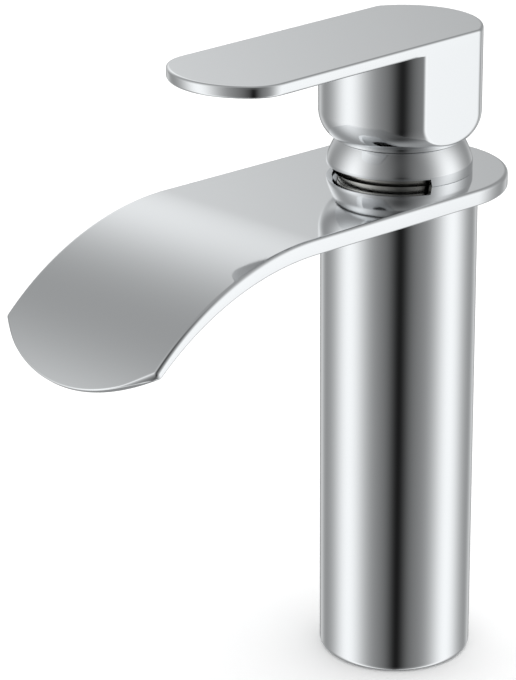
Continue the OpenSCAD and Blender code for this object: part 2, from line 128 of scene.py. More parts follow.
def rounded_path(
    corners: Sequence[tuple[float, float, float]], steps: int = 8, hold: float = 0.08
) -> np.ndarray:
    """Closed path whose square corners are quarter circles.

    A quarter circle is its middle, plus the radius times the way in by the sine of the turn and
    less the way out by its cosine. A point just outside each end keeps the sides flat.

    Args:
        corners: Two coordinates and the rounding radius of each corner, in order.
        steps: Number of chords in a quarter circle.
        hold: Distance of the keeping point from its end.

    Returns:
        Points of the path, two coordinates each.
    """
    corner, radius = np.split(np.array(corners, float)[:, None], (2,), axis=2)
    into = unit(corner - np.roll(corner, 1, axis=0))
    out = np.roll(into, -1, axis=0)
    turn = np.linspace(0.0, math.pi / 2, steps + 1)[:, None]
    bend = corner + radius * (out - into + into * np.sin(turn) - out * np.cos(turn))
    ends = (bend[:, :1] - into * hold, bend, bend[:, -1:] + out * hold)
    return np.concatenate(ends, axis=1).reshape(-1, 2)


def arc(middle: Pair, radius: float, start: float, end: float, steps: int) -> np.ndarray:
    """Points on a circle: its radius times the sine and cosine of an angle from the vertical.

    Args:
        middle: Radius and height of the circle's centre.
        radius: Radius of the circle.
        start: Angle of the first point.
        end: Angle of the last point.
        steps: Number of points.

    Returns:
        Radius and height of each point.
    """
    turn = np.radians(np.linspace(start, end, steps))
    return np.array(middle) + radius * np.stack((np.sin(turn), np.cos(turn)), axis=1)


def soft_min(first: np.ndarray, second: np.ndarray, blend: float) -> np.ndarray:
    """Lesser of two lengths, with the change from one to the other rounded over `blend`."""
    share = np.clip(0.5 + 0.5 * (second - first) / blend, 0.0, 1.0)
    return second + (first - second) * share - blend * share * (1.0 - share)


def revolve(profile: np.ndarray, columns: int) -> np.ndarray:
    """Grid of a profile turned about Z: radius times cosine, radius times sine, height.

    Args:
        profile: Radius and height of each row.
        columns: Number of points round the axis.

    Returns:
        Rows by columns by three.
    """
    angle = np.linspace(0.0, 2.0 * math.pi, columns, endpoint=False)
    radius, height = profile[:, :1], profile[:, 1:]
    return np.stack((radius * np.cos(angle), radius * np.sin(angle), height + 0.0 * angle), axis=2)


def surface_object(name: str, points: np.ndarray, closed: bool) -> Object:
    """Closed mesh from a grid of points in millimetres, whose columns go round.

    Where the last row doesn't join the first, each end is closed by a fan from its middle.

    Args:
        name: Name of the piece.
        points: Rows by columns by three.
        closed: True where the last row joins the first.

    Returns:
        The object, linked to the scene, at the origin.
    """
    rows, columns = points.shape[:2]
    places = points.reshape(-1, 3)
    column = np.arange(columns)
    onward = np.roll(column, -1)
    row = np.arange(rows if closed else rows - 1)[:, None] * columns
    below = (row + columns) % (rows * columns)
    quads = np.stack((row + column, row + onward, below + onward, below + column), axis=2)
    faces = quads.reshape(-1, 4).tolist()
    if not closed:
        places = np.concatenate((places, points[0].mean(axis=0)[None], points[-1].mean(axis=0)[None]))
        middle, base = 0 * column + rows * columns, (rows - 1) * columns
        first = np.stack((middle, onward, column), axis=1)
        last = np.stack((middle + 1, base + column, base + onward), axis=1)
        faces += first.tolist() + last.tolist()
    mesh = bpy.data.meshes.new(name)
    mesh.from_pydata((places * MM).tolist(), [], faces)
    work = bmesh.new()
    work.from_mesh(mesh)
    bmesh.ops.remove_doubles(work, verts=work.verts, dist=SAME_PLACE)
    bmesh.ops.dissolve_degenerate(work, edges=work.edges, dist=SLIVER)
    bmesh.ops.recalc_face_normals(work, faces=work.faces)
    work.to_mesh(mesh)
    work.free()
    mesh.shade_smooth()
    mesh.set_sharp_from_angle(angle=math.radians(CREASE))
    piece = bpy.data.objects.new(name, mesh)
    bpy.context.scene.collection.objects.link(piece)
    return piece


def linear(hex_colour: str) -> tuple[float, float, float, float]:
    """Linear colour of an sRGB hex value, by the standard's straight foot and its power curve.

    Args:
        hex_colour: Six hex digits after a hash sign.

    Returns:
        Red, green, blue and an alpha of 1.
    """
    shares = [int(hex_colour[i : i + 2], 16) / 255.0 for i in (1, 3, 5)]
    red, green, blue = [s / 12.92 if s <= 0.04045 else ((s + 0.055) / 1.055) ** 2.4 for s in shares]
    return red, green, blue, 1.0


def add_node(
    tree: NodeTree, kind: Kind, inputs: dict[Any, Any] | None = None, **settings: Any
) -> Node:
    """Adds a node, with its settings, and sets or links its inputs.

    Args:
        tree: The tree that the node goes into.
        kind: The node's type.
        inputs: Value or output socket for each input, by name or number.
        settings: Attributes of the node.

    Returns:
        The node.
    """
    node = tree.nodes.new(kind.value)
    for key, value in settings.items():
        setattr(node, key, value)
    for key, value in (inputs or {}).items():
        if isinstance(value, NodeSocket):
            tree.links.new(value, node.inputs[key])
        else:
            node.inputs[key].default_value = value
    return node


def mapped(value: Any, source: Pair, target: Pair) -> dict[int, Any]:
    """Inputs that turn one span of a value into another, by their numbers."""
    return dict(enumerate((value, *source, *target)))


def start_material(name: str) -> tuple[Material, NodeTree, NodeSocket]:
    """Empty material and its tree, with the object coordinates that every pattern reads.

    Args:
        name: Name of the finish.

    Returns:
        The material, its node tree and the coordinates' socket.
    """
    material = bpy.data.materials.new(name)
    material.use_nodes = True
    tree = material.node_tree
    tree.nodes.clear()
    return material, tree, add_node(tree, Kind.COORDINATES).outputs["Object"]


def end_material(tree: NodeTree, inputs: dict[str, Any]) -> None:
    """Closes a material with the surface that the inputs describe."""
    shader = add_node(tree, Kind.SURFACE, inputs)
    add_node(tree, Kind.MATERIAL, {"Surface": shader.outputs[0]})


def per_metre(millimetres: float) -> float:
    """Texture scale at which one repeat takes that many millimetres."""
    return 1.0 / (millimetres * MM)


@dataclass(frozen=True)
class ChromePlatedBrass:
    """Mirror-polished brass under nickel and chrome.

    To the eye it is a cool, dark-edged mirror: all that shows is the room, very slightly
    wavy from the polishing wheel, with a faint haze where it was wiped.
    """

    tint: str = "#F0F1F2"
    roughness: float = 0.045
    haze: float = 0.035
    wipe: float = 22.0
    wipe_span: Pair = (0.35, 0.7)
    wave: float = 16.0
    wave_depth: float = 0.0035

    def make(self, name: str) -> Material:
        """Builds the material: a metal whose roughness and relief vary slowly.

        Args:
            name: Name of the finish.

        Returns:
            The material.
        """
        material, tree, place = start_material(name)
        smear = add_node(tree, Kind.NOISE, {"Vector": place, "Scale": per_metre(self.wipe), "Detail": 3.0})
        shine = (self.roughness, self.roughness + self.haze)
        rough = add_node(tree, Kind.RANGE, mapped(smear.outputs["Fac"], self.wipe_span, shine))
        ripple = add_node(tree, Kind.NOISE, {"Vector": place, "Scale": per_metre(self.wave), "Detail": 1.0})
        depth = {"Height": ripple.outputs["Fac"], "Strength": 1.0, "Distance": self.wave_depth * MM}
        relief = add_node(tree, Kind.BUMP, depth)
        surface = {
            "Base Color": linear(self.tint),
            "Metallic": 1.0,
            "Roughness": rough.outputs["Result"],
            "Normal": relief.outputs["Normal"],
        }
        end_material(tree, surface)
        return material


@dataclass(frozen=True)
class TurnedMetal:
    """Metal off the lathe or the mill, unplated or with a thin flash.

    To the eye it is a warm or grey metal with fine lines round its axis and a little tarnish.
    A tool's lines are about 0.1 mm apart. They are drawn far coarser, so they show.
    """

    light: str
    dark: str
    roughness: float = 0.28
    dulling: float = 0.14
    dull_span: Pair = (0.3, 0.8)
    line_pitch: float = 2.513
    line_depth: float = 0.02
    tarnish: float = 9.0
    tarnish_span: Pair = (0.35, 0.75)

    def make(self, name: str) -> Material:
        """Builds the material: rings round Z for the tool's lines, and cloudy tarnish.

        Args:
            name: Name of the finish.

        Returns:
            The material.
        """
        material, tree, place = start_material(name)
        cloudy = {"Vector": place, "Scale": per_metre(self.tarnish), "Detail": 5.0}
        cloud = add_node(tree, Kind.NOISE, cloudy)
        patches = add_node(tree, Kind.RANGE, mapped(cloud.outputs["Fac"], self.tarnish_span, (0.0, 1.0)))
        colour = add_node(tree, Kind.RAMP, {"Fac": patches.outputs["Result"]})
        for stop, shade in zip(colour.color_ramp.elements, (self.light, self.dark)):
            stop.color = linear(shade)
        shine = (self.roughness, self.roughness + self.dulling)
        rough = add_node(tree, Kind.RANGE, mapped(cloud.outputs["Fac"], self.dull_span, shine))
        lines = {"Vector": place, "Scale": per_metre(self.line_pitch) * WAVE_UNIT, "Distortion": 0.4}
        rings = add_node(tree, Kind.WAVE, lines, wave_type="RINGS", rings_direction="Z")
        depth = {"Height": rings.outputs["Fac"], "Strength": 0.6, "Distance": self.line_depth * MM}
        relief = add_node(tree, Kind.BUMP, depth)
        surface = {
            "Base Color": colour.outputs["Color"],
            "Metallic": 1.0,
            "Roughness": rough.outputs["Result"],
            "Normal": relief.outputs["Normal"],
        }
        end_material(tree, surface)
        return material


@dataclass(frozen=True)
class MouldedPart:
    """Rubber, plastic or ceramic out of a mould.

    To the eye it is one colour with slight clouding, and a skin whose grain takes the shine off.
    The real grain is far finer. It is drawn this coarse so that it shows.
    """

    light: str
    dark: str
    roughness: float
    dulling: Pair = (-0.05, 0.08)
    span: Pair = (0.3, 0.7)
    cloud: float = 6.0
    grain: float = 0.9
    grain_depth: float = 0.02
    ior: float = 1.48

    def make(self, name: str) -> Material:
        """Builds the material: cloudy colour, and fine grain as relief and roughness.

        Args:
            name: Name of the finish.

        Returns:
            The material.
        """
        material, tree, place = start_material(name)
        cloud = add_node(tree, Kind.NOISE, {"Vector": place, "Scale": per_metre(self.cloud), "Detail": 4.0})
        colour = add_node(tree, Kind.RAMP, {"Fac": cloud.outputs["Fac"]})
        for stop, shade, share in zip(colour.color_ramp.elements, (self.dark, self.light), self.span):
            stop.position, stop.color = share, linear(shade)
        grain = add_node(tree, Kind.NOISE, {"Vector": place, "Scale": per_metre(self.grain), "Detail": 2.0})
        shine = tuple(self.roughness + change for change in self.dulling)
        rough = add_node(tree, Kind.RANGE, mapped(grain.outputs["Fac"], self.span, shine))
        depth = {"Height": grain.outputs["Fac"], "Strength": 0.5, "Distance": self.grain_depth * MM}
        relief = add_node(tree, Kind.BUMP, depth)
        surface = {
            "Base Color": colour.outputs["Color"],
            "Roughness": rough.outputs["Result"],
            "Normal": relief.outputs["Normal"],
            "IOR": self.ior,
        }
        end_material(tree, surface)
        return material


@dataclass
class ChromePiece:
    """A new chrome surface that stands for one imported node."""

    finish: Material

    def dress(self, piece: Object, body: Body, *nodes: str) -> None:
        """Gives a piece its finish, its body and the nodes that it stands for.

        Args:
            piece: The new surface.
            body: The body that it rides on.
            nodes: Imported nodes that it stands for.
        """
        piece.data.materials.clear()
        piece.data.materials.append(self.finish)
        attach(piece, body.value)
        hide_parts(*nodes)
        count = len(piece.data.polygons)
        LOG.info("%s: %d faces, on %s, for %s", piece.name, count, body.value, ", ".join(nodes))


@dataclass
class Column(ChromePiece):
    """Turned tube: a rounded foot, and inside a ledge at each end."""

    radius: float = 25.0
    bore: float = 22.0
    waist: float = 20.5
    foot_round: float = 2.0
    insert_top: float = 10.0
    valve_seat: float = 112.0
    top: float = 160.7
    edge: float = 0.3
    ledge_round: float = 0.1
    columns: int = 512

    def profile(self) -> np.ndarray:
        """Half section, once round the wall.

        Returns:
            Radius and height of each point.
        """
        return rounded_path(
            (
                (self.radius, self.top, self.edge),
                (self.radius, 0.0, self.foot_round),
                (self.bore, 0.0, self.edge),
                (self.bore, self.insert_top, self.ledge_round),
                (self.waist, self.insert_top, self.edge),
                (self.waist, self.valve_seat, self.edge),
                (self.bore, self.valve_seat, self.ledge_round),
                (self.bore, self.top, self.edge),
            )
        )

    def build(self) -> None:
        """Makes the tube by turning its section about the column's axis."""
        piece = surface_object("column_tube", revolve(self.profile(), self.columns), closed=True)
        self.dress(piece, Body.FIXED, "column")


@dataclass
class SpoutPlate(ChromePiece):
    """Waterfall tongue: level round the column, then bent down and thinning to a convex lip.

    The plate is laid out flat, with x across it and s along its top face, and then rolled on to
    the bend, so both faces and the rounded rim come from one grid that closes on itself.
    """

    top: float = PLATE_TOP
    thickness: float = 5.0
    half_width: float = 34.3
    hole: float = 21.2
    level: float = 69.0
    bend_radius: float = 90.0
    bend_angle: float = 52.8
    tip_thickness: float = 2.0
    lip_radius: float = 51.0
    corner_round: float = 1.6
    top_round: float = 1.2
    lip_round: float = 0.45
    ease_from: float = 2.0
    ease_over: float = 9.0
    under_round: float = 0.6
    outline_step: float = 0.65
    round_points: int = 9
    face_rows: int = 80

    def under_radius(self) -> float:
        """Radius of the underside's arc, from the thickness at both of its ends.

        An arc that starts level has the radius (run squared + fall squared) / (2 fall).

        Returns:
            The radius.
        """
        turn = math.radians(self.bend_angle)
        run = (self.bend_radius - self.tip_thickness) * math.sin(turn)
        tip = self.bend_radius * (1 - math.cos(turn)) + self.tip_thickness * math.cos(turn)
        fall = tip - self.thickness
        return (run * run + fall * fall) / (2 * fall)

    def bend(self, along: np.ndarray) -> np.ndarray:
        """Angle in radians by which the plate has turned down at each distance along it."""
        return np.clip((along - self.level) / self.bend_radius, 0.0, None)

    def depth_of_underside(self, along: np.ndarray) -> np.ndarray:
        """Thickness square to the top face.

        It is the distance between the top's circle and the underside's on the line through
        the top circle's centre, which stands a little above the underside's centre.

        Args:
            along: Distance along the top face.

        Returns:
            The thickness at each distance.
        """
        bend, under = self.bend(along), self.under_radius()
        offset = self.thickness + under - self.bend_radius
        reach = np.sqrt(under**2 - (offset * np.sin(bend)) ** 2) - offset * np.cos(bend)
        return self.bend_radius - reach

    def rolled(self, flat: np.ndarray, depth: np.ndarray) -> np.ndarray:
        """Point of the bent plate: level up to the bend, then on a circle round its centre.

        Args:
            flat: Distance across the plate and along its top face from the column's axis.
            depth: Distance below the top face, square to it.

        Returns:
            Three coordinates for each point.
        """
        across, along = flat[..., 0], flat[..., 1]
        bend, arm = self.bend(along), self.bend_radius - depth
        y = -np.minimum(along, self.level) - arm * np.sin(bend)
        z = self.top - self.bend_radius + arm * np.cos(bend)
        return np.stack((across, y, z), axis=-1)

    def lip(self, across: np.ndarray) -> np.ndarray:
        """Distance along the plate to the lip, which a circle square to the plate's end cuts.

        Args:
            across: Distance across the plate.

        Returns:
            The distance along it.
        """
        back = self.lip_radius - np.sqrt(self.lip_radius**2 - across**2)
        end = self.level + self.bend_radius * math.radians(self.bend_angle)
        return end - self.bend_radius * np.arcsin(back / self.bend_radius)

    def outline(self) -> tuple[np.ndarray, np.ndarray]:
        """Flat outline: lip, rounded corner, side, round back, side, rounded corner.

        The right half is worked out, and the left half is its mirror image.

        Returns:
            Points as x and s, and the outward unit normal at each.
        """
        half, step = self.half_width, self.outline_step
        lean = math.asin(half / self.lip_radius)
        touch = self.corner_round * math.tan((math.pi / 2 - lean) / 2)
        corner = float(self.lip(np.array(half)))
        reach = half - touch * math.cos(lean)
        x = np.linspace(0.0, reach, int(reach / step))
        slope = x / np.sqrt(self.lip_radius**2 - x**2)
        lip = np.stack((x, self.lip(x)), axis=1)
        lip_normal = unit(np.stack((slope, np.ones_like(x)), axis=1))
        swing = np.linspace(lean, math.pi / 2, self.round_points)[1:]
        round_normal = np.stack((np.sin(swing), np.cos(swing)), axis=1)
        centre = np.array((half - self.corner_round, corner - touch))
        rounding = centre + self.corner_round * round_normal
        s = np.linspace(corner - touch, 0.0, int(corner / step))[1:]
        side = np.stack((half + 0.0 * s, s), axis=1)
        side_normal = np.stack((1.0 + 0.0 * s, 0.0 * s), axis=1)
        # The back is a quarter circle, about 1.6 half widths long
        turn = np.linspace(0.0, math.pi / 2, int(half * 1.6 / step))[1:]
        back_normal = np.stack((np.cos(turn), -np.sin(turn)), axis=1)
        points = np.concatenate((lip, rounding, side, half * back_normal))
        normals = np.concatenate((lip_normal, round_normal, side_normal, back_normal))
        mirror = np.array((-1.0, 1.0))
        return (
            np.concatenate((points, points[-2:0:-1] * mirror)),
            np.concatenate((normals, normals[-2:0:-1] * mirror)),
        )

    def build(self) -> None:
        """Makes the plate: top face, rounded rim, underside and the hole's wall, in that order.

        The top's rounding eases from the sides' radius to the lip's with the distance from the
        side.
        """
        edge, normal = self.outline()
        hole = self.hole * unit(edge)
        share = np.linspace(0.0, 1.0, self.face_rows)[:, None, None]
        from_side = self.half_width - np.abs(edge[:, 0])
        crisp = np.clip((from_side - self.ease_from) / self.ease_over, 0.0, 1.0) * (normal[:, 1] > 0.0)
        soft = self.top_round + (self.lip_round - self.top_round) * crisp**2 * (3 - 2 * crisp)
        top = hole + (edge - (soft + KEEP)[:, None] * normal - hole) * share
        swing = np.linspace(0.0, math.pi / 2, self.round_points)[:, None]
        # A quarter circle's two distances, from 1 to 0 and from 0 to 1
        closing, opening = 1 - np.sin(swing), 1 - np.cos(swing)
        rim_in = np.concatenate((soft * closing, self.under_round * opening + 0.0 * soft))
        thick = self.depth_of_underside(edge[:, 1])
        rim_depth = np.concatenate((soft * opening, thick - self.under_round * closing))
        rim = edge - rim_in[:, :, None] * normal
        under = hole + (edge - (self.under_round + KEEP) * normal - hole) * share[::-2]
        depths = (0.0 * top[..., 0], rim_depth, self.depth_of_underside(under[..., 1]))
        grid = self.rolled(np.concatenate((top, rim, under)), np.concatenate(depths))
        piece = surface_object("spout_tongue", grid, closed=True)
        self.dress(piece, Body.FIXED, "spout_plate")


@dataclass
class Collar(ChromePiece):
    """Wall and dome over the cartridge nut, with the water slot cut from the front of the foot.

    The dome is part of a sphere round the lever's pivot, so the hub's edge keeps its distance.
    """

    radius: float = 23.2
    skirt: float = 21.2
    thread: float = 19.6
    hole: float = 17.48
    foot: float = PLATE_TOP
    thread_foot: float = 168.9
    wall_top: float = 169.1
    shoulder_round: float = 3.0
    pivot: float = PIVOT_HEIGHT
    dome_thickness: float = 1.5
    edge: float = 0.2
    slot_height: float = 2.4
    slot_angle: float = 140.0
    slot_end: float = 0.5
    hair: float = 0.01
    columns: int = 720

    def profile(self) -> np.ndarray:
        """Half section, once round: dome outwards, shoulder, foot, thread and inside of the dome.

        The shoulder's circle touches the wall and, from inside, the dome's circle.

        Returns:
            Radius and height of each point.
        """
        edge, centre = self.edge, (0.0, self.pivot)
        outer = math.hypot(self.radius, self.wall_top - self.pivot)
        inner = outer - self.dome_thickness
        shoulder = self.radius - self.shoulder_round
        lean = math.degrees(math.asin(shoulder / (outer - self.shoulder_round)))
        shoulder_z = self.pivot + shoulder / math.tan(math.radians(lean))
        rim = math.degrees(math.asin((self.hole + edge) / outer))
        tuck = [math.degrees(math.asin(x / inner)) for x in (self.thread, self.hole)]
        dome = arc(centre, outer, rim, lean, steps=30)
        return np.concatenate(
            (
                arc((self.hole + edge, dome[0, 1] - edge), edge, -90.0, -20.0, steps=4),
                dome[1:-1],
                arc((shoulder, shoulder_z), self.shoulder_round, lean, 90.0, steps=7),
                arc((self.radius - edge, self.foot + edge), edge, 90.0, 180.0, steps=5),
                arc((self.skirt + edge, self.foot + edge), edge, 180.0, 270.0, steps=5),
                ((self.skirt, self.thread_foot - self.hair),),
                arc((self.thread + edge, self.thread_foot + edge), edge, 180.0, 270.0, steps=5),
                arc(centre, inner, *tuck, steps=14),
            )
        )

    def build(self) -> None:
        """Makes the collar by turning its section; over the slot's angle the foot is drawn up."""
        grid = revolve(self.profile(), self.columns)
        from_front = np.degrees(np.arccos(np.clip(-unit(grid[..., :2])[..., 1], -1.0, 1.0)))
        in_slot = np.clip((self.slot_angle / 2 - from_front) / self.slot_end + 0.5, 0.0, 1.0)
        at_foot = grid[..., 2] < self.foot + self.edge + self.hair
        grid[..., 2] += in_slot * at_foot * self.slot_height
        self.dress(surface_object("collar_cap", grid, closed=True), Body.FIXED, "collar")


@dataclass
class Handle(ChromePiece):
    """Hub with two flats, and the flat lever that runs out of its top, in one casting.

    Every column of the grid lies on a ray from the hub's axis. A row runs from the middle of the
    top face, over the rounded rim, down the lever's side, in under the lever to the hub, down the
    hub to its lip and up through the hollow to the spindle's socket.
    """

    hub: float = HUB_RADIUS
    half_width: float = 22.6
    top: float = 212.1
    drop: float = 1.0
    lever_thickness: float = 3.7
    reach: float = 88.0
    end_radius: float = 27.0
    corner_radius: float = 13.0
    face_middle: Pair = (0.0, -30.0)
    top_round: float = 1.0
    under_round: float = 0.8
    under_share: float = 0.4
    under_rows: tuple[float, ...] = (0.06, 0.5, 0.94, 1.0)
    flat_blend: float = 0.4
    below_lever: float = 0.1
    hub_rings: Pair = (200.0, 190.0)
    above_round: float = 0.2
    round_height: float = 185.5
    round_radius: float = 10.5
    pivot: float = PIVOT_HEIGHT
    clearance: float = 24.39
    lip_edge: Pair = (0.6, 0.25)
    cavity: float = 19.2
    cavity_top: float = 206.1
    cavity_edge: float = 0.5
    above_lip: float = 0.3
    boss: float = 10.0
    boss_foot: float = 174.2
    boss_bevel: float = 0.5
    socket: Pair = (4.05, 4.55)
    socket_top: float = 194.4
    plug_height: float = PLUG_HEIGHT
    plug_recess: float = 4.05
    plug_hole: float = 3.25
    plug_depth: float = 1.45
    screw_hole: float = 2.52
    screw_reach: float = 11.0
    drill_past: float = 2.0
    drill_columns: int = 128
    face_rings: int = 14
    rim_points: int = 10
    round_points: int = 36
    lip_points: int = 8
    outline_points: int = 40001
    columns: int = 880

    def hub_reach(self, angle: np.ndarray, radius: np.ndarray | float) -> np.ndarray:
        """Distance from the axis to the hub's wall: a circle, trimmed by the two flats.

        Args:
            angle: Angle of the ray from the front.
            radius: Radius of the untrimmed hub at that height.

        Returns:
            The distance on each ray.
        """
        flat = self.half_width / np.maximum(np.abs(np.sin(angle)), LEAST)
        return soft_min(radius + 0.0 * angle, np.minimum(flat, 4 * self.hub), self.flat_blend)

    def lever_reach(self, angle: np.ndarray) -> np.ndarray:
        """Distance from the axis to the outline of the top: hub behind, then side, corner and end.

        The corner's circle touches the straight side and, from inside, the end's circle. On a
        ray, a circle is left at its centre's distance along the ray plus the half chord.

        Args:
            angle: Angle of the ray from the front.

        Returns:
            The distance on each ray.
        """
        sine, cosine, turn = np.abs(np.sin(angle)), np.cos(angle), np.abs(angle)
        apart = self.end_radius - self.corner_radius
        corner_x, end_y = self.half_width - self.corner_radius, self.reach - self.end_radius
        run = math.sqrt(apart**2 - corner_x**2)

        def leaves(x: float, y: float, radius: float) -> np.ndarray:
            """Distance at which each ray leaves a circle."""
            along = x * sine + y * cosine
            return along + np.sqrt(np.maximum(radius**2 - x * x - y * y + along**2, 0.0))

        share = self.end_radius / apart
        end_to = math.atan2(corner_x * share, end_y + run * share)
        corner_to = math.atan2(self.half_width, end_y + run)
        end = leaves(0.0, end_y, self.end_radius)
        corner = leaves(corner_x, end_y + run, self.corner_radius)
        side = self.half_width / np.maximum(sine, LEAST)
        front = np.where(turn < end_to, end, np.where(turn < corner_to, corner, side))
        return np.where(turn < math.pi / 2, front, self.hub_reach(angle, self.hub))

    def rays(self) -> tuple[np.ndarray, np.ndarray]:
        """Rays of the columns, spaced evenly along the outline of the top.

        Returns:
            Angle of each ray from the front, and its unit vector.
        """
        fine = np.linspace(-math.pi, math.pi, self.outline_points)
        reach = self.lever_reach(fine)
        x, y = reach * np.sin(fine), -reach * np.cos(fine)
        length = np.concatenate(((0.0,), np.cumsum(np.hypot(np.diff(x), np.diff(y)))))
        angle = np.interp(np.linspace(0.0, length[-1], self.columns + 1)[:-1], length, fine)
        return angle, np.stack((np.sin(angle), -np.cos(angle)), axis=1)

    def slope(self, y: np.ndarray) -> np.ndarray:
        """Height of the top face, which falls towards the tip."""
        return self.top + y * math.tan(math.radians(self.drop))

    def lever_rows(self) -> np.ndarray:
        """Rows of the lever: its top face, rounded rim, side, lower rounding and underside.

        Returns:
            Rows by columns by three.
        """
        angle, ray = self.rays()
        foot = self.hub_reach(angle, self.hub)[:, None] * ray
        edge = self.lever_reach(angle)[:, None] * ray
        chord = np.roll(edge, -1, axis=0) - np.roll(edge, 1, axis=0)
        normal = unit(np.stack((chord[:, 1], -chord[:, 0]), axis=1))
        normal *= np.sign((normal * edge).sum(axis=1))[:, None]
        width = np.linalg.norm(edge - foot, axis=1)
        under = np.minimum(self.under_round, self.under_share * width)
        swing = np.linspace(0.0, math.pi / 2, self.rim_points)[:, None]
        closing, opening = 1 - np.sin(swing), 1 - np.cos(swing)
        middle = np.array(self.face_middle)
        inset = edge - (self.top_round + KEEP) * normal
        top = middle + (inset - middle) * np.linspace(FIRST_RING, 1.0, self.face_rings)[:, None, None]
        rim = edge - (self.top_round * closing)[:, :, None] * normal
        low = edge - (under * opening)[:, :, None] * normal
        below = low[-1] + (foot - low[-1]) * np.array(self.under_rows)[:, None, None]
        rows = np.concatenate((top, rim, low, below))
        rounded = (self.top_round * opening + 0.0 * width, self.lever_thickness - under * closing)
        depths = (0.0 * top[..., 0], *rounded, 0.0 * below[..., 0] + self.lever_thickness)
        height = self.slope(rows[..., 1]) - np.concatenate(depths)
        return np.concatenate((rows, height[..., None]), axis=2)

    def hub_rows(self) -> np.ndarray:
        """Rows of the hub: wall, rounding, spherical lip, hollow, boss and socket, downwards and in.

        The socket is a rectangle, left on a ray at the nearer of its two sides.

        Returns:
            Rows by columns by three.
        """
        angle, ray = self.rays()
        wall, turn = self.hub_reach(angle, self.hub), self.lip_turn()
        centre = (self.hub - self.round_radius, self.round_height)
        rounding = arc(centre, self.round_radius, 90.0, turn[0] - self.lip_edge[0], self.round_points)
        first = (self.slope(wall * ray[:, 1]) - self.lever_thickness - self.below_lever)[None, :]
        rings = np.array((*self.hub_rings, self.round_height + self.above_round))[:, None]
        rounding_r = self.hub_reach(angle[None], rounding[:, :1])
        wall_r = np.concatenate((np.repeat(wall[None], 1 + len(rings), axis=0), rounding_r))
        wall_z = np.concatenate((first, rings + 0.0 * first, rounding[:, 1:] + 0.0 * first))
        end = math.degrees(math.asin(self.cavity / self.clearance)) + self.cavity_edge
        sphere = arc((0.0, self.pivot), self.clearance, turn[1] - self.lip_edge[1], end, self.lip_points)
        hollow = (
            (self.cavity, sphere[-1, 1] + self.above_lip),
            (self.cavity, self.cavity_top),
            (self.boss, self.cavity_top),
            (self.boss, self.boss_foot + self.boss_bevel),
            (self.boss - self.boss_bevel, self.boss_foot),
        )
        inside = np.concatenate((sphere, hollow))
        box = np.minimum(
            self.socket[0] / np.maximum(np.abs(np.sin(angle)), LEAST),
            self.socket[1] / np.maximum(np.abs(np.cos(angle)), LEAST),
        )
        socket_z = np.array((self.boss_foot, self.socket_top, self.socket_top))[:, None]
        radii = np.concatenate((wall_r, inside[:, :1] + 0.0 * angle, (box, box, box * LAST_RING)))
        heights = np.concatenate((wall_z, inside[:, 1:] + 0.0 * angle, socket_z + 0.0 * angle))
        return np.concatenate((radii[..., None] * ray, heights[..., None]), axis=2)

    def lip_turn(self) -> Pair:
        """Angles at which the hub's rounding meets the sphere that trims it from below.

        The crossing of two circles lies on the line between their centres, (R2 - r2 + d2) / 2d
        from the sphere's, and square to that line by the rest of the sphere's radius.

        Returns:
            The crossing's angle from the vertical round the rounding's centre, and round the pivot.
        """
        centre = np.array((self.hub - self.round_radius, self.round_height - self.pivot))
        apart = float(np.linalg.norm(centre))
        along = (self.clearance**2 - self.round_radius**2 + apart**2) / (2 * apart)
        aside = math.sqrt(self.clearance**2 - along**2)
        x, z = (along * centre + aside * np.array((centre[1], -centre[0]))) / apart
        return math.degrees(math.atan2(x - centre[0], z - centre[1])), math.degrees(math.atan2(x, z))

    def drill(self, piece: Object) -> None:
        """Cuts the set screw's bore and the index plug's stepped hole into the back of the hub.

        The cutter is a stepped profile turned about Z and laid along Y at the plug's height.

        Args:
            piece: The casting, which gets the drilled mesh.
        """
        seat, end = self.hub - self.plug_depth, self.hub + self.drill_past
        radius = np.repeat((self.screw_hole, self.plug_hole, self.plug_recess), 2)
        height = (0.0, self.screw_reach, self.screw_reach, seat, seat, end)
        turned = revolve(np.stack((radius, height), axis=1), self.drill_columns)
        laid = np.stack((turned[..., 0], turned[..., 2], self.plug_height - turned[..., 1]), axis=2)
        cutter = surface_object("plug_cutter", laid, closed=False)
        cut = piece.modifiers.new("plug hole", "BOOLEAN")
        cut.operation, cut.solver, cut.object = "DIFFERENCE", "EXACT", cutter
        finished = piece.evaluated_get(bpy.context.evaluated_depsgraph_get())
        shape = bpy.data.meshes.new_from_object(finished)
        piece.modifiers.clear()
        piece.data = shape
        bpy.data.objects.remove(cutter)
        shape.set_sharp_from_angle(angle=math.radians(CREASE))

    def build(self) -> None:
        """Makes the casting and drills it for the screw and the plug."""
        grid = np.concatenate((self.lever_rows(), self.hub_rows()))
        piece = surface_object("lever_handle", grid, closed=False)
        self.drill(piece)
        self.dress(piece, Body.LEVER, "handle")


